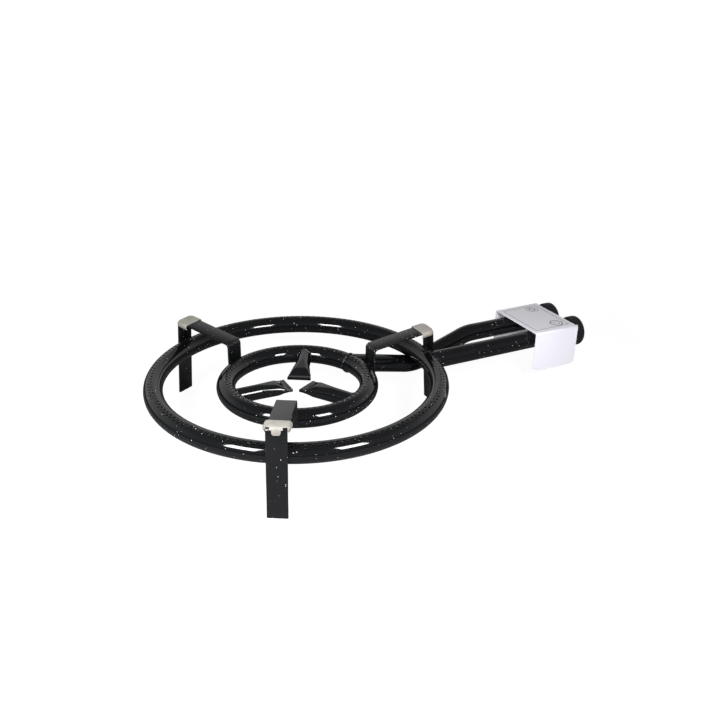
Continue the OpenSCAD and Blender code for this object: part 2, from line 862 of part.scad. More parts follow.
module cover_channel() {
  inside_r = cover_fold_r - cover_sheet;
  difference() {
    round_top(cover_w, cover_h, cover_fold_r);
    translate([0, -cover_sheet]) round_top(cover_w - 2 * cover_sheet, cover_h, inside_r);
  }
}

module tap_cover() {
  top_h = feed_h + cover_rise;
  panel_w = cover_w - 2 * (cover_fold_r + panel_relief);
  panel_h = cover_rise + panel_reach;
  fold_x = cover_end_x - cover_fold_r;
  color("#d9d8e2") placed()
    difference() {
      union() {
        difference() {
          intersection() {
            translate([cover_end_x - cover_l, 0, top_h - cover_h])
              rotate([90, 0, 90]) linear_extrude(cover_l) cover_channel();
            translate([cover_end_x - cover_l / 2, 0, top_h])
              rotate([-90, 0, 0])
                linear_extrude(cover_w + over, center = true) round_top(cover_l, cover_h, flap_corner_r);
          }
          translate([fold_x, -cover_w / 2 + cover_fold_r, top_h - cover_h])
            cube([cover_fold_r + over, cover_w - 2 * cover_fold_r, cover_h + over]);
        }
        // The end panel, with its fold and a stretch of the top
        intersection() {
          translate([fold_x, 0, top_h - cover_fold_r])
            rotate([90, 0, 0])
              linear_extrude(panel_w, center = true)
                fold_profile(cover_fold_r, cover_sheet, 90, panel_h);
          translate([fold_x - panel_h, 0, top_h])
            rotate([90, 0, 90])
              linear_extrude(panel_h + cover_fold_r + over)
                mirror([0, 1]) round_top(panel_w, panel_h, flap_corner_r);
        }
      }
      for (y = [outer_y, inner_y])
        at_tap(y) rod(panel_x - over, cover_sheet + 2 * over, neck_d + 2 * panel_clear);
    }
}

outer_ring();
inner_ring();
spur_back();
spur_left();
spur_right();
outer_feed_tube();
inner_feed_tube();
support_handle();
support_left();
support_front();
clip_handle();
clip_left();
clip_front();
outer_end_bush();
inner_end_bush();
outer_injector();
inner_injector();
outer_tap_body();
inner_tap_body();
outer_bonnet();
inner_bonnet();
outer_plug();
inner_plug();
outer_knob();
inner_knob();
panel_nuts();
gas_manifold();
union_nuts();
nozzle_washer();
hose_nozzle();
tap_cover();
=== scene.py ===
import math

import bpy
import numpy as np
from mathutils import Matrix, Vector


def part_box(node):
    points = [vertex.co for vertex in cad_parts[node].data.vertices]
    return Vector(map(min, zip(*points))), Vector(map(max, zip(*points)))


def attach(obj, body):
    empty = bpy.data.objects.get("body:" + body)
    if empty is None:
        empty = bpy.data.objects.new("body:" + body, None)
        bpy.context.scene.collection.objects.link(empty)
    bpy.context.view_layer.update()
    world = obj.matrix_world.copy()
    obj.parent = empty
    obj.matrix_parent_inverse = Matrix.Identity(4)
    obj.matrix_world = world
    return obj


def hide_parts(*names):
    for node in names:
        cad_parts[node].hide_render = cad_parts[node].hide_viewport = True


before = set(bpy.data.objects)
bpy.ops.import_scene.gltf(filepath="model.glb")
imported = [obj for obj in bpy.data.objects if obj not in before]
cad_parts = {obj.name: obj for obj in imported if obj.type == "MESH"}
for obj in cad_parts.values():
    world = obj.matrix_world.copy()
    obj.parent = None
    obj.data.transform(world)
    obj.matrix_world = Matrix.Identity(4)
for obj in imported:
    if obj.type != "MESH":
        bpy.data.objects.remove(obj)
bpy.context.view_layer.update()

# Studio
# A white sweep for a floor and two small soft boxes in front of the burner, as on a product table.
# The room is dim above and in front, and paler low down behind, where the tubes' crowns mirror it.

MM = 0.001
VIEW_AZIMUTH = -27.4
VIEW_ELEVATION = 25.24
VIEW_ROLL = 0.956
VIEW_DISTANCE_MM = 1152.4
VIEW_CENTRE_MM = (-48.2, -37.8, 104.7)
VIEW_FOCAL_PX = 878.9
PHOTO_PX = 720

FLOOR_HALF_M = 14.0
FLOOR_NEAR_M = 0.5
FLOOR_FAR_M = 1.6
FLOOR_GLOW_NEAR = 0.92
FLOOR_MIRRORED = "#78787A"
BOX_SIZE_MM = (200, 220)
BOX_WATTS = 3.7
BOX_PLACES_MM = {"soft_box_right": (2, -577, 425), "soft_box_left": (-573, -275, 383)}
BOX_AIM_MM = (-121, 0, 80)
ROOM_TOP, ROOM_FRONT, ROOM_BACK = 0.14, 0.2, 0.55


def linear(code):
    """An sRGB hex colour as linear red, green, blue and alpha."""
    parts = [int(code[i:i + 2], 16) / 255 for i in (1, 3, 5)]
    return [p / 12.92 if p <= 0.04045 else ((p + 0.055) / 1.055) ** 2.4 for p in parts] + [1.0]


def add_node(tree, kind, options=None, inputs=None):
    """Adds a shader node, sets its options, and sets or links its inputs."""
    node = tree.nodes.new(kind)
    for name, value in (options or {}).items():
        setattr(node, name, value)
    for name, value in (inputs or {}).items():
        if isinstance(value, bpy.types.NodeSocket):
            tree.links.new(value, node.inputs[name])
        else:
            node.inputs[name].default_value = value
    return node


def new_material(name):
    """An empty node material and its tree."""
    material = bpy.data.materials.new(name)
    material.use_nodes = True
    material.node_tree.nodes.clear()
    return material, material.node_tree


def white_sweep():
    """White laminate, matt. It is white to the camera with a soft shadow, and its mirror image is dim."""
    material, tree = new_material("white_laminate_sweep")
    ray = add_node(tree, "ShaderNodeLightPath").outputs
    seen = add_node(tree, "ShaderNodeMath", {"operation": "MAXIMUM"},
                    {0: ray["Is Camera Ray"], 1: ray["Is Transmission Ray"]})
    place = add_node(tree, "ShaderNodeTexCoord").outputs["Object"]
    away = add_node(tree, "ShaderNodeVectorMath", {"operation": "LENGTH"}, {0: place})
    glow = add_node(tree, "ShaderNodeMapRange", None,
                    {"Value": away.outputs["Value"], "From Min": FLOOR_NEAR_M, "From Max": FLOOR_FAR_M,
                     "To Min": FLOOR_GLOW_NEAR, "To Max": 1.0})
    light = add_node(tree, "ShaderNodeEmission", None, {"Strength": glow.outputs["Result"]})
    faint = add_node(tree, "ShaderNodeBsdfDiffuse", None, {"Color": linear("#7A7A7A")})
    shown = add_node(tree, "ShaderNodeAddShader", None, {0: faint.outputs[0], 1: light.outputs[0]})
    lit = add_node(tree, "ShaderNodeBsdfDiffuse", None, {"Color": linear("#EDEDED")})
    dim = add_node(tree, "ShaderNodeBsdfDiffuse", None, {"Color": linear(FLOOR_MIRRORED)})
    unseen = add_node(tree, "ShaderNodeMixShader", None,
                      {"Fac": ray["Is Glossy Ray"], 1: lit.outputs[0], 2: dim.outputs[0]})
    both = add_node(tree, "ShaderNodeMixShader", None,
                    {"Fac": seen.outputs[0], 1: unseen.outputs[0], 2: shown.outputs[0]})
    add_node(tree, "ShaderNodeOutputMaterial", None, {"Surface": both.outputs[0]})
    return material


floor_mesh = bpy.data.meshes.new("floor")
floor_mesh.from_pydata([(x * FLOOR_HALF_M, y * FLOOR_HALF_M, 0) for x, y in ((-1, -1), (1, -1), (1, 1), (-1, 1))],
                       [], [(0, 1, 2, 3)])
floor_mesh.materials.append(white_sweep())
floor = bpy.data.objects.new("floor", floor_mesh)
bpy.context.scene.collection.objects.link(floor)

azimuth, elevation = math.radians(VIEW_AZIMUTH), math.radians(VIEW_ELEVATION)
world = bpy.data.worlds.new("dim_room")
bpy.context.scene.world = world
world.use_nodes = True
world.node_tree.nodes.clear()
room_ray = add_node(world.node_tree, "ShaderNodeLightPath").outputs
room_seen = add_node(world.node_tree, "ShaderNodeMath", {"operation": "MAXIMUM"},
                     {0: room_ray["Is Camera Ray"], 1: room_ray["Is Transmission Ray"]})
room_way = add_node(world.node_tree, "ShaderNodeTexCoord").outputs["Generated"]
room_high = add_node(world.node_tree, "ShaderNodeSeparateXYZ", None, {"Vector": room_way})
room_behind = add_node(world.node_tree, "ShaderNodeVectorMath", {"operation": "DOT_PRODUCT"},
                       {0: room_way, 1: (-math.sin(azimuth), math.cos(azimuth), 0)})
room_low = add_node(world.node_tree, "ShaderNodeMapRange", {"interpolation_type": "SMOOTHSTEP"},
                    {"Value": room_behind.outputs["Value"], "From Min": -0.5, "From Max": 0.6,
                     "To Min": ROOM_FRONT, "To Max": ROOM_BACK})
room_shade = add_node(world.node_tree, "ShaderNodeMapRange", {"interpolation_type": "SMOOTHSTEP"},
                      {"Value": room_high.outputs["Z"], "From Min": 0.4, "From Max": 0.8,
                       "To Min": room_low.outputs["Result"], "To Max": ROOM_TOP})
room_level = add_node(world.node_tree, "ShaderNodeMix", {"data_type": "FLOAT"},
                      {"Factor": room_seen.outputs[0], "A": room_shade.outputs["Result"], "B": 1.0})
room_light = add_node(world.node_tree, "ShaderNodeBackground", None,
                      {"Color": (1, 1, 1, 1), "Strength": room_level.outputs["Result"]})
add_node(world.node_tree, "ShaderNodeOutputWorld", None, {"Surface": room_light.outputs[0]})

for box_name, box_place in BOX_PLACES_MM.items():
    lamp = bpy.data.lights.new(box_name, "AREA")
    lamp.shape = "RECTANGLE"
    lamp.size, lamp.size_y = BOX_SIZE_MM[0] * MM, BOX_SIZE_MM[1] * MM
    lamp.energy = BOX_WATTS
    soft_box = bpy.data.objects.new(box_name, lamp)
    bpy.context.scene.collection.objects.link(soft_box)
    soft_box.location = Vector(box_place) * MM
    soft_box.rotation_euler = (Vector(BOX_AIM_MM) - Vector(box_place)).to_track_quat("-Z", "Y").to_euler()

back = Vector((math.sin(azimuth) * math.cos(elevation), -math.cos(azimuth) * math.cos(elevation),
               math.sin(elevation)))
level = Vector((math.cos(azimuth), math.sin(azimuth), 0))
turned = Matrix((level, back.cross(level), back)).transposed() @ Matrix.Rotation(math.radians(VIEW_ROLL), 3, "Z")
camera_data = bpy.data.cameras.new("camera")
camera_data.sensor_width = 36
camera_data.lens = VIEW_FOCAL_PX / PHOTO_PX * camera_data.sensor_width
camera = bpy.data.objects.new("camera", camera_data)
bpy.context.scene.collection.objects.link(camera)
camera.matrix_world = Matrix.Translation((Vector(VIEW_CENTRE_MM) + back * VIEW_DISTANCE_MM) * MM) @ turned.to_4x4()
bpy.context.scene.camera = camera
bpy.context.scene.view_settings.view_transform = "Standard"

# Burner rings
# Two rings bent from steel tube and butt-welded, each with two staggered rows of drilled flame ports.
# They are dipped in black vitreous enamel, which rounds the ports' rims and carries pale flecks.

PORT_D_MM = 2.8
PORT_RIM_MM = 0.3
PORT_DEEP_MM = 1.8
PORT_PITCH_MM = 8
PORT_ROWS_MM = {"outer_ring": (1.5, 5.0), "inner_ring": (-1.0, -5.0)}
PORT_FREE_MM = {"outer_ring": 16.5, "inner_ring": 6.0}
RING_FEEDS = {"outer_ring": "outer_feed_tube", "inner_ring": "inner_feed_tube"}
SEAM_DEG = {"outer_ring": -6.9, "inner_ring": 17.4}
PORT_SIDES = 16
PLAIN_LINES = 40
SEAM_BEAD_MM = {"outer_ring": 0.9, "inner_ring": 1.7}
BEAD_RIPPLE_MM = 2.4
BEAD_STEP_MM = 0.6
BEAD_SIDES = 10


def vitreous_enamel(name, colour, roughness, fleck_cell_mm):
    """Black glass fired on steel, dipped: a deep gloss, a faint orange peel, and pale flecks of mixed size."""
    fleck_mm = 0.66
    peel_mm = 7
    patch_mm = 45
    material, tree = new_material(name)
    place = add_node(tree, "ShaderNodeTexCoord").outputs["Object"]
    dots = add_node(tree, "ShaderNodeTexVoronoi", {"feature": "F1"},
                    {"Vector": place, "Scale": 1 / (fleck_cell_mm * MM)})
    draw = add_node(tree, "ShaderNodeSeparateColor", None, {"Color": dots.outputs["Color"]})
    patch = add_node(tree, "ShaderNodeTexNoise", None,
                     {"Vector": place, "Scale": 1 / (patch_mm * MM), "Detail": 1.0})
    spread = add_node(tree, "ShaderNodeMapRange", None,
                      {"Value": patch.outputs["Fac"], "From Min": 0.35, "From Max": 0.65,
                       "To Min": 0.35, "To Max": 1.0})
    size = add_node(tree, "ShaderNodeMath", {"operation": "MULTIPLY"},
                    {0: draw.outputs["Red"], 1: fleck_mm / fleck_cell_mm})
    reach = add_node(tree, "ShaderNodeMath", {"operation": "MULTIPLY"},
                     {0: size.outputs[0], 1: spread.outputs["Result"]})
    inside = add_node(tree, "ShaderNodeMath", {"operation": "SUBTRACT"},
                      {0: reach.outputs[0], 1: dots.outputs["Distance"]})
    fleck = add_node(tree, "ShaderNodeMapRange", None,
                     {"Value": inside.outputs[0], "From Min": 0.0, "From Max": 0.12 / fleck_cell_mm})
    tone = add_node(tree, "ShaderNodeMix", {"data_type": "RGBA"},
                    {"Factor": fleck.outputs["Result"], "A": linear(colour), "B": linear("#E9E7E2")})
    cloud = add_node(tree, "ShaderNodeMapRange", None,
                     {"Value": patch.outputs["Fac"], "To Min": roughness * 0.75, "To Max": roughness * 1.25})
    peel = add_node(tree, "ShaderNodeTexNoise", None,
                    {"Vector": place, "Scale": 1 / (peel_mm * MM), "Detail": 2.0})
    skin = add_node(tree, "ShaderNodeBump", None,
                    {"Strength": 0.12, "Distance": 0.2 * MM, "Height": peel.outputs["Fac"]})
    glass = add_node(tree, "ShaderNodeBsdfPrincipled", None,
                     {"Base Color": tone.outputs["Result"], "Roughness": cloud.outputs["Result"],
                      "IOR": 1.56, "Normal": skin.outputs["Normal"]})
    add_node(tree, "ShaderNodeOutputMaterial", None, {"Surface": glass.outputs[0]})
    return material


def shaded_port_bore():
    """The inside of a drilled port, bare of enamel, and its blind floor: rough and dull, and nearly black as painted
    shade for the unlit inside of the tube.
    """
    shade_mottle_mm = 1.5
    material, tree = new_material("painted_shade_port_bore")
    place = add_node(tree, "ShaderNodeTexCoord").outputs["Object"]
    bore_shade = add_node(tree, "ShaderNodeTexNoise", None, {"Vector": place, "Scale": 1 / (shade_mottle_mm * MM), "Detail": 3.0})
    # Painted shade: near black, mottled at random, standing in for the dark inside of the tube beyond the port.
    tone = add_node(tree, "ShaderNodeMix", {"data_type": "RGBA"},
                    {"Factor": bore_shade.outputs["Fac"], "A": linear("#050505"), "B": linear("#111010")})
    steel = add_node(tree, "ShaderNodeBsdfPrincipled", None,
                     {"Base Color": tone.outputs["Result"], "Roughness": 0.9, "Specular IOR Level": 0.1})
    add_node(tree, "ShaderNodeOutputMaterial", None, {"Surface": steel.outputs[0]})
    return material


def make_piece(name, points_mm, faces, material, sharp_deg=50):
    """A mesh piece from points in millimetres, smooth but for its sharp edges."""
    mesh = bpy.data.meshes.new(name)
    mesh.from_pydata([tuple(c * MM for c in p) for p in points_mm], [], faces)
    mesh.validate()
    mesh.shade_smooth()
    mesh.set_sharp_from_angle(angle=math.radians(sharp_deg))
    mesh.materials.append(material)
    piece = bpy.data.objects.new(name, mesh)
    bpy.context.scene.collection.objects.link(piece)
    return piece


def ring_sizes(node):
    """Centre, radius of the tube's centre line and radius of the tube, in millimetres."""
    low, high = (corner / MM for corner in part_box(node))
    tube = (high.z - low.z) / 2
    return (low + high) / 2, (high.x - low.x) / 2 - tube, tube


def ported_ring(node):
    """Points and faces of a ring of tube with its rows of flame ports, which stop short of the feed tube.
    The last list counts the faces inside the ports."""
    centre, ring_r, tube_r = ring_sizes(node)
    feed_low, feed_high = (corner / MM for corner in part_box(RING_FEEDS[node]))
    start = math.asin((feed_low.y + feed_high.y) / 2 / ring_r)
    free = PORT_FREE_MM[node] / ring_r
    rows = PORT_ROWS_MM[node]
    row_gap = abs(rows[1] - rows[0])
    per_row = round(2 * math.pi * ring_r / PORT_PITCH_MM)
    cell = PORT_SIDES // 4
    columns = cell * per_row
    zone_start = min(rows) - row_gap / 2
    zone = [zone_start + row_gap / cell * k for k in range(cell * len(rows) + 1)]
    rest = 2 * math.pi * tube_r - row_gap * len(rows)
    lines = zone + [zone[-1] + rest / PLAIN_LINES * k for k in range(1, PLAIN_LINES)]
    turn = 2 * math.pi / columns
    points, faces, bores, known = [], [], [], {}

    def surface(column, arc, deep=0.0):
        """A new point on the tube, or below its skin."""
        angle = start + (column - cell / 2) * turn
        out = ring_r + (tube_r - deep) * math.sin(arc / tube_r)
        points.append((centre.x + out * math.cos(angle), centre.y + out * math.sin(angle),
                       centre.z + (tube_r - deep) * math.cos(arc / tube_r)))
        return len(points) - 1

    def grid(column, line):
        """The point of the plain grid at a column and a line."""
        key = (column % columns, line % len(lines))
        if key not in known:
            known[key] = surface(key[0], lines[key[1]])
        return known[key]

    def plain(column, line):
        """A face of the plain grid."""
        faces.append((grid(column, line), grid(column, line + 1),
                      grid(column + 1, line + 1), grid(column + 1, line)))

    for column in range(columns):
        for line in range(len(zone) - 1, len(lines)):
            plain(column, line)
    rim = ((PORT_D_MM / 2 + PORT_RIM_MM, 0), (PORT_D_MM / 2 + PORT_RIM_MM * 0.3, PORT_RIM_MM * 0.25),
           (PORT_D_MM / 2, PORT_RIM_MM), (PORT_D_MM / 2, PORT_DEEP_MM))
    for row in range(len(rows)):
        for port in range(per_row):
            first = cell * port + cell // 2 * row
            top = cell * row
            if not free < first * turn < 2 * math.pi - free:
                for column in range(first, first + cell):
                    for line in range(top, top + cell):
                        plain(column, line)
                continue
            steps = range(cell)
            loop = ([grid(first, top + k) for k in steps] + [grid(first + k, top + cell) for k in steps]
                    + [grid(first + cell, top + cell - k) for k in steps]
                    + [grid(first + cell - k, top) for k in steps])
            middle = lines[top + cell // 2]
            for radius, deep in rim:
                inner = []
                bored = deep > PORT_RIM_MM
                for k in range(PORT_SIDES):
                    way = 2 * math.pi * (k / PORT_SIDES - 0.375)
                    across = radius * math.sin(way) / (ring_r + tube_r * math.sin(middle / tube_r)) / turn
                    inner.append(surface(first + cell / 2 + across, middle + radius * math.cos(way), deep))
                for k in range(PORT_SIDES):
                    after = (k + 1) % PORT_SIDES
                    if bored:
                        bores.append(len(faces))
                    faces.append((loop[k], loop[after], inner[after], inner[k]))
                loop = inner
            # The port ends in a blind floor, which takes the bore's painted shade in place of the tube's dark inside.
            bores.append(len(faces))
            faces.append(tuple(loop))
    return points, faces, bores


def bead(path, radius, closed, seed):
    """Points and faces of a weld bead along a path: a rippled, uneven round, with rounded ends if open."""
    path = np.asarray(path, float)
    ahead = np.roll(path, -1, 0) - np.roll(path, 1, 0)
    if not closed:
        ahead[0], ahead[-1] = path[1] - path[0], path[-1] - path[-2]
    ahead /= np.linalg.norm(ahead, axis=1)[:, None]
    steps = np.linalg.norm(np.diff(path, axis=0), axis=1)
    run = np.concatenate([[0], np.cumsum(steps)])
    total = run[-1] + (np.linalg.norm(path[0] - path[-1]) if closed else 0)
    ripples = max(2, round(total / BEAD_RIPPLE_MM))
    hand = np.random.default_rng(seed)
    uneven, wander = hand.uniform(0.65, 1.2, ripples + 1), hand.uniform(-0.3, 0.3, ripples + 1)
    uneven[-1], wander[-1] = uneven[0], wander[0]
    share = run / total * ripples
    swell = 0.88 + 0.18 * np.abs(np.sin(math.pi * share))
    thick = radius * swell * np.interp(share, np.arange(ripples + 1), uneven)
    drift = radius * np.interp(share, np.arange(ripples + 1), wander)
    if not closed:
        near_end = np.minimum(run, total - run) / radius
        thick *= np.sqrt(np.clip(1 - (1 - np.clip(near_end, 0.06, 1)) ** 2, 0, 1))
    side = np.cross(ahead[0], (0, 0, 1) if abs(ahead[0][2]) < 0.9 else (1, 0, 0))
    points, faces = [], []
    for spot, way, reach, off in zip(path, ahead, thick, drift):
        side = side - way * side.dot(way)
        side /= np.linalg.norm(side)
        other = np.cross(way, side)
        for k in range(BEAD_SIDES):
            round_way = 2 * math.pi * k / BEAD_SIDES
            points.append(spot + off * side
                          + reach * (math.cos(round_way) * side + math.sin(round_way) * other))
    rings = len(path)
    for i in range(rings if closed else rings - 1):
        here, there = i * BEAD_SIDES, (i + 1) % rings * BEAD_SIDES
        for k in range(BEAD_SIDES):
            after = (k + 1) % BEAD_SIDES
            faces.append((here + k, here + after, there + after, there + k))
    if not closed:
        faces.append(tuple(range(BEAD_SIDES))[::-1])
        faces.append(tuple((rings - 1) * BEAD_SIDES + k for k in range(BEAD_SIDES)))
    return points, faces


def seam_path(node):
    """The circle round the tube where the ring's two ends meet."""
    centre, ring_r, tube_r = ring_sizes(node)
    angle = math.radians(SEAM_DEG[node])
    count = round(2 * math.pi * tube_r / BEAD_STEP_MM)
    spots = []
    for k in range(count):
        way = 2 * math.pi * k / count
        out = ring_r + tube_r * math.cos(way)
        spots.append((centre.x + out * math.cos(angle), centre.y + out * math.sin(angle),
                      centre.z + tube_r * math.sin(way)))
    return spots


enamel = vitreous_enamel("black_vitreous_enamel", "#0C0D0F", 0.07, 4)
# The ports' bores and blind floors get a near-black painted shade.
bore_shade = shaded_port_bore()
for seed, ring_node in enumerate(("outer_ring", "inner_ring")):
    ring_points, ring_faces, ring_bores = ported_ring(ring_node)
    ring = make_piece(ring_node + "_tube", ring_points, ring_faces, enamel)
    ring.data.materials.append(bore_shade)
    for bore in ring_bores:
        ring.data.polygons[bore].material_index = 1
    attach(ring, "burner")
    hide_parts(ring_node)
    seam = make_piece(ring_node + "_seam",
                      *bead(seam_path(ring_node), SEAM_BEAD_MM[ring_node], True, seed), enamel)
    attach(seam, "burner")

# Flame spurs
# Three short tubes welded into the inner ring, widened and pinched flat at the tip, with a slit for the gas.
# They carry the same dipped enamel as the rings.

SPUR_DEG = {"spur_back": 60, "spur_left": 180, "spur_right": 300}
SPUR_R_MM = 10
SPUR_TIP_MM = 13.5
SPUR_LIP_MM = (32, 4)
SPUR_HEIGHTS_MM = {54.5: 20, 31: 15.5, 20: 4}
SPUR_KINK_MM = 1.2
SPUR_SLIT_MM = 1.2
SPUR_SLIT_DEEP_MM = 14
SPUR_EDGE_MM = 0.7
SPUR_STATIONS = 36
SPUR_CORNER_POINTS = 9
SPUR_BEAD_MM = 1.1


def round_box(wide, high, corner_r, corner_points):
    """Points of a rectangle with rounded corners, anticlockwise, about the origin."""
    spots = []
    for quarter, (sx, sy) in enumerate(((1, 1), (-1, 1), (-1, -1), (1, -1))):
        for k in range(corner_points):
            way = math.pi / 2 * (quarter + k / (corner_points - 1))
            spots.append((sx * (wide / 2 - corner_r) + corner_r * math.cos(way),
                          sy * (high / 2 - corner_r) + corner_r * math.sin(way)))
    return spots


def loft(sections):
    """Points and faces of a closed skin through sections with as many points each."""
    count = len(sections[0])
    points = [spot for section in sections for spot in section]
    faces = [tuple(range(count))[::-1]]
    for i in range(len(sections) - 1):
        here, there = i * count, (i + 1) * count
        for k in range(count):
            after = (k + 1) % count
            faces.append((here + k, here + after, there + after, there + k))
    faces.append(tuple((len(sections) - 1) * count + k for k in range(count)))
    return points, faces


def spur_skin(angle_deg):
    """A spur from its root in the ring to its lip, over the lip's edge and back into the slit."""
    centre, ring_r, tube_r = ring_sizes("inner_ring")
    lip_w, lip_t = SPUR_LIP_MM
    starts = sorted(SPUR_HEIGHTS_MM)
    angle = math.radians(angle_deg)
    edge = SPUR_EDGE_MM
    flats = []
    for out in (ring_r - tube_r * 0.6, *np.linspace(starts[-1], SPUR_TIP_MM + edge, SPUR_STATIONS)):
        near = out + SPUR_KINK_MM * np.array((-1, -0.5, 0, 0.5, 1))
        high = np.interp(near, starts, [SPUR_HEIGHTS_MM[start] for start in starts]).mean()
        widened = max(0.0, (starts[-1] - out) / (starts[-1] - SPUR_TIP_MM))
        wide = 2 * SPUR_R_MM + (lip_w - 2 * SPUR_R_MM) * widened
        rounded = min(1.0, (high - lip_t) / lip_t)
        flats.append((out, round_box(wide, high, edge + (0.49 * high - edge) * rounded, SPUR_CORNER_POINTS)))
    for out, less, corner in ((0.3, 0.6, 0.7), (0, 1.6, 0.2)):
        flats.append((SPUR_TIP_MM + edge * out, round_box(lip_w - edge * less, lip_t - edge * less, edge * corner,
                                                          SPUR_CORNER_POINTS)))
    slit = round_box(lip_w - 4 * edge, SPUR_SLIT_MM, edge * 0.2, SPUR_CORNER_POINTS)
    flats.append((SPUR_TIP_MM, slit))
    flats.append((SPUR_TIP_MM + SPUR_SLIT_DEEP_MM, slit))
    sections = []
    for out, outline in flats:
        sections.append([(centre.x + out * math.cos(angle) - across * math.sin(angle),
                          centre.y + out * math.sin(angle) + across * math.cos(angle),
                          centre.z + up) for across, up in outline])
    return loft(sections)


def meeting(node, start, way, radius):
    """The closed line where a round tube, run from start along way, first meets a ring."""
    centre, ring_r, tube_r = ring_sizes(node)
    way = np.array(way, float) / np.linalg.norm(way)
    side = np.cross(way, (0, 0, 1))
    side /= np.linalg.norm(side)
    upper = np.cross(side, way)
    runs = np.linspace(0, 2 * tube_r + ring_r, 6000)
    spots = []
    for k in range(round(2 * math.pi * radius / BEAD_STEP_MM)):
        turned_by = k * BEAD_STEP_MM / radius
        edge = np.array(start, float) + radius * (math.cos(turned_by) * side + math.sin(turned_by) * upper)
        along = edge + runs[:, None] * way - np.array(centre)
        depth = (np.hypot(along[:, 0], along[:, 1]) - ring_r) ** 2 + along[:, 2] ** 2 - tube_r ** 2
        hit = np.argmax(depth < 0) if (depth < 0).any() else np.argmin(depth)
        spots.append(along[hit] + np.array(centre))
    return spots


inner_centre = ring_sizes("inner_ring")[0]
for seed, (spur_node, spur_deg) in enumerate(SPUR_DEG.items()):
    spur = make_piece(spur_node + "_tube", *spur_skin(spur_deg), enamel, sharp_deg=40)
    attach(spur, "burner")
    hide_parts(spur_node)
    outwards = (math.cos(math.radians(spur_deg)), math.sin(math.radians(spur_deg)), 0)
    spur_root = meeting("inner_ring", inner_centre, outwards, SPUR_R_MM)
    spur_weld = make_piece(spur_node + "_weld", *bead(spur_root, SPUR_BEAD_MM, True, 10 + seed), enamel)
    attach(spur_weld, "burner")

# Feed tubes
# One straight and one swan-necked tube, each saddle-cut and welded to its ring, dipped with the rings.
# The slots near their ends let air in beside the gas jets, under the cover.

FEED_BEAD_MM = 1.7
FEED_SWEEP_MM = 60
NECK_FALL_DEG = 12.1


def dress(node, material):
    """Gives a node of the frame its finish."""
    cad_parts[node].data.materials.clear()
    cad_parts[node].data.materials.append(material)


outer_centre, outer_ring_r, outer_tube_r = ring_sizes("outer_ring")
for seed, (ring_node, feed_node) in enumerate(RING_FEEDS.items()):
    dress(feed_node, enamel)
    feed_low, feed_high = (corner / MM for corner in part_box(feed_node))
    feed_y = (feed_low.y + feed_high.y) / 2
    ring_centre, ring_r, _ = ring_sizes(ring_node)
    root_x = ring_centre.x + math.sqrt(ring_r ** 2 - feed_y ** 2)
    fall = math.radians(NECK_FALL_DEG) if feed_node == "inner_feed_tube" else 0
    root_z = ring_centre.z if feed_node == "inner_feed_tube" else (feed_low.z + feed_high.z) / 2
    away = Vector((math.cos(fall), 0, -math.sin(fall)))
    feed_line = meeting(ring_node, Vector((root_x, feed_y, root_z)) + away * FEED_SWEEP_MM, -away, outer_tube_r)
    feed_weld = make_piece(feed_node + "_weld", *bead(feed_line, FEED_BEAD_MM, True, 20 + seed), enamel)
    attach(feed_weld, "burner")

# Pan supports
# Three flat steel bars, each bent twice into a leg, an arm and a drop, and welded to both rings.
# Their enamel is thinner and duller than the rings', with its sharp edges rounded by the glass.

SUPPORT_DEG = {"support_handle": 0, "support_left": 120, "support_front": 240}
BAR_T_MM = 3
BAR_EDGE_MM = 0.6
BAR_BEND_MM = 4
LEG_LEAN_DEG = 4.2
ARM_FALL_DEG = 7.9
SUPPORT_H_MM = 115
DROP_REACH_MM = 5
WELD_GAP_MM = 0.1
BAR_BEND_STEPS = 10
BAR_CORNER_POINTS = 4
BAR_BEAD_MM = 1.5
BAR_BEAD_DEG = 24

bar_low, bar_high = (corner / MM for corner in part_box("support_handle"))
BAR_W_MM = bar_high.y - bar_low.y


def bar_corner():
    """Where the leg's outer face passes the ring, and where it meets the arm's, in the bar's upright plane."""
    lean = math.radians(LEG_LEAN_DEG)
    face = outer_tube_r + WELD_GAP_MM + BAR_T_MM
    leg = np.array((outer_ring_r + face * math.cos(lean), outer_centre.z + face * math.sin(lean)))
    return leg, np.array((leg[0] - (SUPPORT_H_MM - leg[1]) * math.tan(lean), SUPPORT_H_MM))


def bar_stations():
    """Places and directions along the bent bar's outer face, foot to drop, in its own upright plane."""
    lean, fall = math.radians(LEG_LEAN_DEG), math.radians(ARM_FALL_DEG)
    leg, corner = bar_corner()
    drop_r = bar_low.x - outer_centre.x
    foot = np.array((leg[0] + leg[1] * math.tan(lean), 0.0))
    shoulder = np.array((drop_r, SUPPORT_H_MM - (corner[0] - drop_r) * math.tan(fall)))
    drop_end = np.array((drop_r, inner_centre.z - DROP_REACH_MM))
    bend_r = BAR_BEND_MM + BAR_T_MM
    stations = []
    bearings = (math.pi / 2 + lean, math.pi + fall, math.pi * 1.5)
    stations.append((foot, bearings[0]))
    for turn_at, before, after in ((corner, *bearings[:2]), (shoulder, *bearings[1:])):
        cut = bend_r * math.tan((after - before) / 2)
        start = turn_at - cut * np.array((math.cos(before), math.sin(before)))
        hub = start + bend_r * np.array((-math.sin(before), math.cos(before)))
        for k in range(BAR_BEND_STEPS + 1):
            bearing = before + (after - before) * k / BAR_BEND_STEPS
            stations.append((hub + bend_r * np.array((math.sin(bearing), -math.cos(bearing))), bearing))
    stations.append((drop_end, bearings[2]))
    return stations


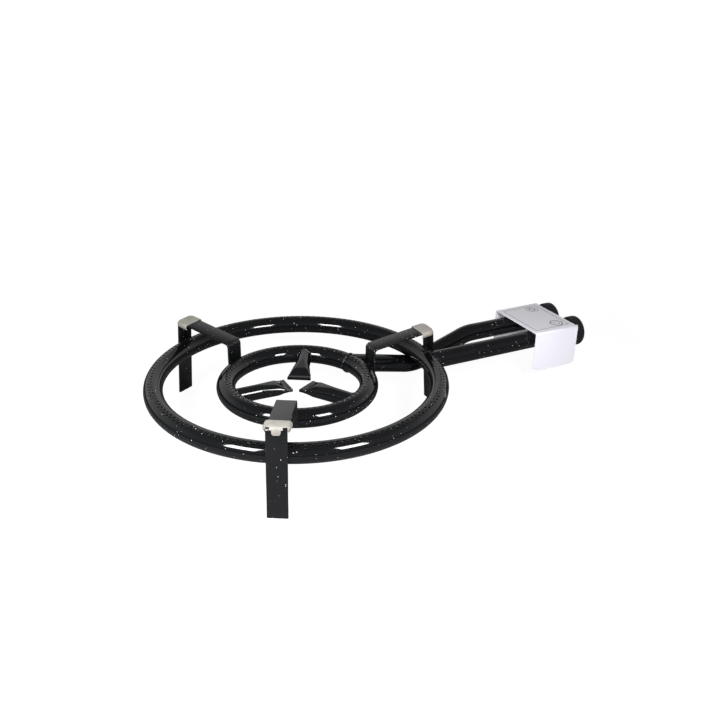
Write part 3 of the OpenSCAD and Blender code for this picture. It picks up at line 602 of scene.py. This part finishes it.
def bar_skin(angle_deg):
    """A bent bar with rounded edges. Its foot is cut level with the floor."""
    angle = math.radians(angle_deg)
    outline = round_box(BAR_W_MM, BAR_T_MM, BAR_EDGE_MM, BAR_CORNER_POINTS)
    small = round_box(BAR_W_MM - BAR_EDGE_MM, BAR_T_MM - BAR_EDGE_MM, BAR_EDGE_MM / 2, BAR_CORNER_POINTS)
    stations = bar_stations()
    foot, foot_way = stations[0]
    drop, drop_way = stations[-1]
    rows = [(foot, foot_way, small, 0.0), (foot, foot_way, outline, BAR_EDGE_MM / 2)]
    rows += [(spot, way, outline, None) for spot, way in stations[1:-1]]
    rows += [(drop, drop_way, outline, -BAR_EDGE_MM / 2), (drop, drop_way, small, 0.0)]
    sections = []
    for spot, way, shape, slide in rows:
        ahead = np.array((math.cos(way), math.sin(way)))
        outer = np.array((math.sin(way), -math.cos(way)))
        section = []
        for across, deep in shape:
            place = spot + outer * (deep - BAR_T_MM / 2)
            if slide is not None:
                place = place + ahead * slide
            if spot is foot:
                place = place + ahead * ((slide - place[1]) / ahead[1])
            section.append((outer_centre.x + place[0] * math.cos(angle) + across * math.sin(angle),
                            outer_centre.y + place[0] * math.sin(angle) - across * math.cos(angle), place[1]))
        sections.append(section)
    return loft(sections)


def bar_weld(angle_deg, ring_node, lean_deg, off_deg):
    """A straight bead in the corner between a ring and the bar's face."""
    centre, ring_r, tube_r = ring_sizes(ring_node)
    angle, way = math.radians(angle_deg), math.radians(lean_deg + off_deg)
    reach = (tube_r - BAR_BEAD_MM * 0.4) / math.cos(math.radians(off_deg))
    half = BAR_W_MM / 2 - BAR_BEAD_MM
    out, up = ring_r + reach * math.cos(way), centre.z + reach * math.sin(way)
    return [(centre.x + out * math.cos(angle) - s * math.sin(angle),
             centre.y + out * math.sin(angle) + s * math.cos(angle), up)
            for s in np.arange(-half, half, BEAD_STEP_MM)]


bar_enamel = vitreous_enamel("satin_black_enamel", "#101113", 0.2, 3.9)
for seed, (bar_node, bar_deg) in enumerate(SUPPORT_DEG.items()):
    bar = make_piece(bar_node + "_bar", *bar_skin(bar_deg), bar_enamel, sharp_deg=60)
    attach(bar, "burner")
    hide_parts(bar_node)
    for place, (ring_node, lean_deg, off_deg) in {
        "leg_top": ("outer_ring", LEG_LEAN_DEG, BAR_BEAD_DEG), "leg_low": ("outer_ring", LEG_LEAN_DEG, -BAR_BEAD_DEG),
        "drop_top": ("inner_ring", 0, BAR_BEAD_DEG), "drop_low": ("inner_ring", 0, -BAR_BEAD_DEG),
    }.items():
        weld = make_piece(f"{bar_node}_{place}_weld",
                          *bead(bar_weld(bar_deg, ring_node, lean_deg, off_deg), BAR_BEAD_MM, False, 30 + seed), enamel)
        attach(weld, "burner")

# Corner clips
# Bare steel pressings that cap each support's corner and take the pan's wear.
# A tongue folds down the leg, and the cheeks curl in to grip the bar's sides.

CLIP_W_MM = 32.4
CLIP_L_MM = 20.5
CLIP_SHEET_MM = 1.2
CLIP_CORNER_MM = 8.5
CLIP_FOLD_MM = 4.2
CLIP_FOLD_DEG = (0, 13, 27, 40, 57, 74, 90)
CLIP_NOTCH_FOLDS = 4
CLIP_WALL_MM = 0.4
CLIP_CURL_DEG = 75
CLIP_CURL_STEPS = 6
CLIP_CHEEK_END_DEG = 42
TONGUE_W_MM = 15
TONGUE_SHOULDER_MM = 4.4
TONGUE_TIP_W_MM = 10.5
TONGUE_TIP_R_MM = 3
TONGUE_END_MM = 10.5
CLIP_EDGE_MM = 0.25
CLIP_SHARP_DEG = 50


def round_edges(piece, edge_mm, sharp_deg):
    """Rounds the edges of a piece that turn by more than an angle."""
    rounding = piece.modifiers.new("rounded", "BEVEL")
    rounding.width = edge_mm * MM
    rounding.segments = 2
    rounding.limit_method = "ANGLE"
    rounding.angle_limit = math.radians(sharp_deg)
    return rounding


def rolled_steel(name, colour, roughness, grain_mm, tint):
    """Bare or plated sheet: rolled to a fine grain one way, with soft cloudy stains in the metal."""
    cloud_mm = 14
    material, tree = new_material(name)
    place = add_node(tree, "ShaderNodeTexCoord").outputs["Object"]
    drawn = add_node(tree, "ShaderNodeMapping", None,
                     {"Vector": place, "Scale": (0.06, 1.0, 1.0)})
    grain = add_node(tree, "ShaderNodeTexNoise", None,
                     {"Vector": drawn.outputs[0], "Scale": 1 / (grain_mm * MM), "Detail": 3.0})
    cloud = add_node(tree, "ShaderNodeTexNoise", None,
                     {"Vector": place, "Scale": 1 / (cloud_mm * MM), "Detail": 4.0})
    stain = add_node(tree, "ShaderNodeMapRange", None,
                     {"Value": cloud.outputs["Fac"], "From Min": 0.35, "From Max": 0.75})
    tone = add_node(tree, "ShaderNodeMix", {"data_type": "RGBA"},
                    {"Factor": stain.outputs["Result"], "A": linear(colour), "B": linear(tint)})
    dull = add_node(tree, "ShaderNodeMapRange", None,
                    {"Value": grain.outputs["Fac"], "To Min": roughness * 0.7, "To Max": roughness * 1.3})
    ridges = add_node(tree, "ShaderNodeBump", None,
                      {"Strength": 0.15, "Distance": 0.05 * MM, "Height": grain.outputs["Fac"]})
    metal = add_node(tree, "ShaderNodeBsdfPrincipled", None,
                     {"Base Color": tone.outputs["Result"], "Metallic": 1.0, "Roughness": dull.outputs["Result"],
                      "Normal": ridges.outputs["Normal"]})
    add_node(tree, "ShaderNodeOutputMaterial", None, {"Surface": metal.outputs[0]})
    return material


def clip_strips():
    """The clip's edge in plan as strips, cheek to cheek. Each spot has its place, its outward way and its fold."""
    half, corner_r = CLIP_W_MM / 2, CLIP_CORNER_MM
    hub = np.array((CLIP_SHEET_MM - corner_r, half - corner_r))
    fold = [(CLIP_FOLD_MM * (math.sin(math.radians(d)) - 1), CLIP_FOLD_MM * (1 - math.cos(math.radians(d))))
            for d in CLIP_FOLD_DEG]

    def curled(slant):
        """The fold of a cheek, curled in as far as the bar's side leaves room."""
        room = (BAR_W_MM / 2 + WELD_GAP_MM - hub[1]) / slant - corner_r + CLIP_FOLD_MM
        turn = min(math.radians(CLIP_CURL_DEG), math.acos(max(-1, min(1, room / (CLIP_FOLD_MM - CLIP_SHEET_MM)))))
        start = CLIP_FOLD_MM + CLIP_WALL_MM
        return fold + [(CLIP_FOLD_MM * (math.cos(turn * k / CLIP_CURL_STEPS) - 1),
                        start + CLIP_FOLD_MM * math.sin(turn * k / CLIP_CURL_STEPS))
                       for k in range(CLIP_CURL_STEPS + 1)]

    def on_corner(deg):
        """A spot on the rounded corner of the plan, and the way out of it."""
        way = np.array((math.cos(math.radians(deg)), math.sin(math.radians(deg))))
        return hub + corner_r * way, way

    ahead = np.array((1.0, 0.0))
    cheek = [(np.array((CLIP_SHEET_MM - CLIP_L_MM, half)), np.array((0.0, 1.0)), curled(1.0))]
    for deg in np.linspace(90, CLIP_CHEEK_END_DEG, 9):
        cheek.append((*on_corner(deg), curled(math.sin(math.radians(deg)))))
    notch = [(*on_corner(deg), fold[:CLIP_NOTCH_FOLDS]) for deg in np.linspace(CLIP_CHEEK_END_DEG, 0, 7)]
    notch.append((np.array((CLIP_SHEET_MM, TONGUE_W_MM / 2)), ahead, fold[:CLIP_NOTCH_FOLDS]))
    tip_half, tip_r = TONGUE_TIP_W_MM / 2, TONGUE_TIP_R_MM
    shoulder = [(np.array((CLIP_SHEET_MM, y)), ahead, fold + [(0, TONGUE_SHOULDER_MM)])
                for y in (TONGUE_W_MM / 2, tip_half)]
    tip = []
    for y in np.linspace(tip_half, -tip_half, 25):
        past = max(0.0, abs(y) - tip_half + tip_r)
        tip.append((np.array((CLIP_SHEET_MM, y)), ahead,
                    fold + [(0, TONGUE_END_MM - tip_r + math.sqrt(max(0.0, tip_r ** 2 - past ** 2)))]))
    flip = np.array((1, -1))
    other = [[(spot * flip, way * flip, line) for spot, way, line in reversed(strip)]
             for strip in (shoulder, notch, cheek)]
    return [cheek, notch, shoulder, tip, *other]


def clip_skin(angle_deg):
    """The outside of a clip on its support's corner: the flat top and the strips that fold down from it."""
    fall, angle = math.radians(ARM_FALL_DEG), math.radians(angle_deg)
    corner = bar_corner()[1]
    points, faces, known, top = [], [], {}, []

    def place(spot, way, line):
        """The point at one step of a fold, made once where strips share it."""
        x, y = spot + way * line[0]
        x, z = x + WELD_GAP_MM, CLIP_SHEET_MM - line[1] + WELD_GAP_MM
        key = (round(x, 4), round(y, 4), round(z, 4))
        if key not in known:
            known[key] = len(points)
            out = corner[0] + x * math.cos(fall) - z * math.sin(fall)
            points.append((outer_centre.x + out * math.cos(angle) - y * math.sin(angle),
                           outer_centre.y + out * math.sin(angle) + y * math.cos(angle),
                           corner[1] + x * math.sin(fall) + z * math.cos(fall)))
        return known[key]

    for strip in clip_strips():
        rows = [[place(spot, way, step) for step in line] for spot, way, line in strip]
        top += [row[0] for row in rows if row[0] not in top]
        for here, there in zip(rows, rows[1:]):
            for k in range(len(here) - 1):
                faces.append((here[k], there[k], there[k + 1], here[k + 1]))
    faces.append(tuple(reversed(top)))
    return points, faces


clip_steel = rolled_steel("bare_rolled_steel", "#CDCAC4", 0.85, 0.6, "#B9B6AF")
for support_node, clip_deg in SUPPORT_DEG.items():
    clip_node = support_node.replace("support", "clip")
    clip = make_piece(clip_node + "_pressing", *clip_skin(clip_deg), clip_steel)
    sheet = clip.modifiers.new("sheet", "SOLIDIFY")
    sheet.thickness = CLIP_SHEET_MM * MM
    sheet.offset = -1
    sheet.use_even_offset = True
    round_edges(clip, CLIP_EDGE_MM, CLIP_SHARP_DEG)
    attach(clip, "burner")
    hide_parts(clip_node)

# Taps
# Turned brass bodies, bonnets, plugs and jets, with plated steel bushes and nuts.
# The bushes sit in the feed tubes' ends, and the nuts clamp the cover to the bonnets.


def turned_brass():
    """Free-cutting brass from the lathe: warm, with fine turning rings and a little tarnish."""
    ring_mm = 0.6
    tarnish_mm = 9
    material, tree = new_material("turned_brass")
    place = add_node(tree, "ShaderNodeTexCoord").outputs["Object"]
    rings = add_node(tree, "ShaderNodeTexWave", {"bands_direction": "X"},
                     {"Vector": place, "Scale": math.pi / 10 / (ring_mm * MM), "Distortion": 0.4})
    stain = add_node(tree, "ShaderNodeTexNoise", None,
                     {"Vector": place, "Scale": 1 / (tarnish_mm * MM), "Detail": 4.0})
    tone = add_node(tree, "ShaderNodeMix", {"data_type": "RGBA"},
                    {"Factor": stain.outputs["Fac"], "A": linear("#D9B765"), "B": linear("#B08A3E")})
    cut = add_node(tree, "ShaderNodeBump", None,
                   {"Strength": 0.2, "Distance": 0.04 * MM, "Height": rings.outputs["Fac"]})
    dull = add_node(tree, "ShaderNodeMapRange", None,
                    {"Value": stain.outputs["Fac"], "To Min": 0.18, "To Max": 0.38})
    metal = add_node(tree, "ShaderNodeBsdfPrincipled", None,
                     {"Base Color": tone.outputs["Result"], "Metallic": 1.0, "Roughness": dull.outputs["Result"],
                      "Normal": cut.outputs["Normal"]})
    add_node(tree, "ShaderNodeOutputMaterial", None, {"Surface": metal.outputs[0]})
    return material


brass = turned_brass()
plated_steel = rolled_steel("zinc_plated_steel", "#C9CBCF", 0.3, 0.4, "#AEB2BA")
for side in ("outer", "inner"):
    for part in ("injector", "tap_body", "bonnet", "plug"):
        dress(f"{side}_{part}", brass)
    dress(f"{side}_end_bush", plated_steel)
dress("panel_nuts", plated_steel)

# Gas inlet
# A drawn steel pipe joins the taps, with brass union nuts under them.
# The brass hose nozzle is sealed to its boss by a rubber washer.


def sealing_rubber():
    """Moulded nitrile rubber: matt black, with a dusty bloom."""
    bloom_mm = 3
    material, tree = new_material("nitrile_rubber")
    place = add_node(tree, "ShaderNodeTexCoord").outputs["Object"]
    bloom = add_node(tree, "ShaderNodeTexNoise", None,
                     {"Vector": place, "Scale": 1 / (bloom_mm * MM), "Detail": 3.0})
    tone = add_node(tree, "ShaderNodeMix", {"data_type": "RGBA"},
                    {"Factor": bloom.outputs["Fac"], "A": linear("#161617"), "B": linear("#2A2A2B")})
    rubber = add_node(tree, "ShaderNodeBsdfPrincipled", None,
                      {"Base Color": tone.outputs["Result"], "Roughness": 0.75, "IOR": 1.52})
    add_node(tree, "ShaderNodeOutputMaterial", None, {"Surface": rubber.outputs[0]})
    return material


dress("gas_manifold", rolled_steel("drawn_steel_pipe", "#B5AFA3", 0.38, 0.5, "#8E887C"))
dress("union_nuts", brass)
dress("hose_nozzle", brass)
dress("nozzle_washer", sealing_rubber())

# Tap cover
# A folded sheet of pale lacquered steel over the taps, held by the nuts on their bonnets.
# A thin film is stuck on its top, with a printed border and plain ring marks for the two taps.

COVER_EDGE_MM = 0.5
COVER_FOLD_MM = 3
FILM_T_MM = 0.15
FILM_MARGIN_MM = 4
FILM_CORNER_MM = 3
FRAME_IN_MM = 3
MARK_BACK_MM = 24
MARK_R_MM = (9.0, 4.5)
MARK_LINE_MM = (1.0, 2.0)
NODE_SHARP_DEG = 40


def soften(node, edge_mm):
    """Rounds the sharp edges of a node of the frame, as tumbling or plating does."""
    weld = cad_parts[node].modifiers.new("joined", "WELD")
    weld.merge_threshold = 0.01 * MM
    round_edges(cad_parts[node], edge_mm, NODE_SHARP_DEG).harden_normals = True


def pale_lacquer():
    """Stoved lacquer on sheet: an even cool white with a low sheen and a slight orange peel."""
    peel_mm = 2.5
    cloud_mm = 60
    material, tree = new_material("pale_stoved_lacquer")
    place = add_node(tree, "ShaderNodeTexCoord").outputs["Object"]
    cloud = add_node(tree, "ShaderNodeTexNoise", None,
                     {"Vector": place, "Scale": 1 / (cloud_mm * MM), "Detail": 2.0})
    tone = add_node(tree, "ShaderNodeMix", {"data_type": "RGBA"},
                    {"Factor": cloud.outputs["Fac"], "A": linear("#F7F6FF"), "B": linear("#F0EFFA")})
    peel = add_node(tree, "ShaderNodeTexNoise", None,
                    {"Vector": place, "Scale": 1 / (peel_mm * MM), "Detail": 1.0})
    skin = add_node(tree, "ShaderNodeBump", None,
                    {"Strength": 0.1, "Distance": 0.05 * MM, "Height": peel.outputs["Fac"]})
    lacquer = add_node(tree, "ShaderNodeBsdfPrincipled", None,
                       {"Base Color": tone.outputs["Result"], "Roughness": 0.36, "IOR": 1.5,
                        "Normal": skin.outputs["Normal"]})
    add_node(tree, "ShaderNodeOutputMaterial", None, {"Surface": lacquer.outputs[0]})
    return material


def printed_film(marks, middle, half_frame):
    """Silver-grey polyester film: a satin sheen, thin printed rings about the given places, and a thin border."""
    weave_mm = 5
    material, tree = new_material("printed_polyester_film")
    place = add_node(tree, "ShaderNodeTexCoord").outputs["Object"]
    cloud = add_node(tree, "ShaderNodeTexNoise", None,
                     {"Vector": place, "Scale": 1 / (weave_mm * MM), "Detail": 3.0})
    ground = add_node(tree, "ShaderNodeMix", {"data_type": "RGBA"},
                      {"Factor": cloud.outputs["Fac"], "A": linear("#EAE9EF"), "B": linear("#F2F1F7")})
    off = add_node(tree, "ShaderNodeVectorMath", {"operation": "SUBTRACT"}, {0: place, 1: middle})
    off = add_node(tree, "ShaderNodeVectorMath", {"operation": "ABSOLUTE"}, {0: off.outputs[0]})
    off = add_node(tree, "ShaderNodeVectorMath", {"operation": "SUBTRACT"}, {0: off.outputs[0], 1: half_frame})
    off = add_node(tree, "ShaderNodeSeparateXYZ", None, {"Vector": off.outputs[0]})
    edge = add_node(tree, "ShaderNodeMath", {"operation": "MAXIMUM"}, {0: off.outputs["X"], 1: off.outputs["Y"]})
    printed = add_node(tree, "ShaderNodeMath", {"operation": "COMPARE"},
                       {0: edge.outputs[0], 1: 0.0, 2: MARK_LINE_MM[0] / 2 * MM}).outputs[0]
    for spot, lines in marks:
        reach = add_node(tree, "ShaderNodeVectorMath", {"operation": "DISTANCE"}, {0: place, 1: spot})
        for radius, line in zip(MARK_R_MM, lines):
            ring = add_node(tree, "ShaderNodeMath", {"operation": "COMPARE"},
                            {0: reach.outputs["Value"], 1: radius * MM, 2: line / 2 * MM})
            printed = add_node(tree, "ShaderNodeMath", {"operation": "MAXIMUM"},
                               {0: printed, 1: ring.outputs[0]}).outputs[0]
    tone = add_node(tree, "ShaderNodeMix", {"data_type": "RGBA"},
                    {"Factor": printed, "A": ground.outputs["Result"], "B": linear("#77777D")})
    film = add_node(tree, "ShaderNodeBsdfPrincipled", None,
                    {"Base Color": tone.outputs["Result"], "Roughness": 0.3, "IOR": 1.6})
    add_node(tree, "ShaderNodeOutputMaterial", None, {"Surface": film.outputs[0]})
    return material


dress("tap_cover", pale_lacquer())
soften("tap_cover", COVER_EDGE_MM)
cover_low, cover_high = (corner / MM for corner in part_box("tap_cover"))
film_x = (cover_low.x + FILM_MARGIN_MM, cover_high.x - COVER_FOLD_MM - FILM_MARGIN_MM)
film_wide = cover_high.y - cover_low.y - 2 * (COVER_FOLD_MM + FILM_MARGIN_MM)
film_shape = round_box(film_x[1] - film_x[0], film_wide, FILM_CORNER_MM, SPUR_CORNER_POINTS)
film_layers = [[(sum(film_x) / 2 + x, y, cover_high.z + up) for x, y in film_shape] for up in (0.01, FILM_T_MM)]
film_marks = []
for feed_node, mark_lines in (("outer_feed_tube", MARK_LINE_MM[::-1]), ("inner_feed_tube", MARK_LINE_MM)):
    feed_low, feed_high = (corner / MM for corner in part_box(feed_node))
    film_marks.append((Vector((cover_high.x - MARK_BACK_MM, (feed_low.y + feed_high.y) / 2,
                               cover_high.z + FILM_T_MM)) * MM, mark_lines))
film_middle = Vector((sum(film_x) / 2, 0, cover_high.z)) * MM
film_frame = Vector(((film_x[1] - film_x[0]) / 2 - FRAME_IN_MM, film_wide / 2 - FRAME_IN_MM, 0)) * MM
film = make_piece("cover_film", *loft(film_layers), printed_film(film_marks, film_middle, film_frame))
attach(film, "burner")

# Knobs
# Two fluted knobs of black thermoset, pushed onto the flats of the tap spindles.
# The moulding has a soft sheen and a pointer groove in its face.

KNOB_EDGE_MM = 0.5


def black_thermoset():
    """Phenolic moulding: a black satin skin with a faint grain from the mould."""
    grain_mm = 0.9
    material, tree = new_material("phenolic_moulding")
    place = add_node(tree, "ShaderNodeTexCoord").outputs["Object"]
    grain = add_node(tree, "ShaderNodeTexNoise", None,
                     {"Vector": place, "Scale": 1 / (grain_mm * MM), "Detail": 2.0})
    tone = add_node(tree, "ShaderNodeMix", {"data_type": "RGBA"},
                    {"Factor": grain.outputs["Fac"], "A": linear("#0F0F11"), "B": linear("#1C1C1F")})
    dull = add_node(tree, "ShaderNodeMapRange", None,
                    {"Value": grain.outputs["Fac"], "To Min": 0.28, "To Max": 0.42})
    skin = add_node(tree, "ShaderNodeBump", None,
                    {"Strength": 0.2, "Distance": 0.05 * MM, "Height": grain.outputs["Fac"]})
    plastic = add_node(tree, "ShaderNodeBsdfPrincipled", None,
                       {"Base Color": tone.outputs["Result"], "Roughness": dull.outputs["Result"], "IOR": 1.6,
                        "Normal": skin.outputs["Normal"]})
    add_node(tree, "ShaderNodeOutputMaterial", None, {"Surface": plastic.outputs[0]})
    return material


thermoset = black_thermoset()
for node in ("outer_knob", "inner_knob"):
    dress(node, thermoset)
    soften(node, KNOB_EDGE_MM)
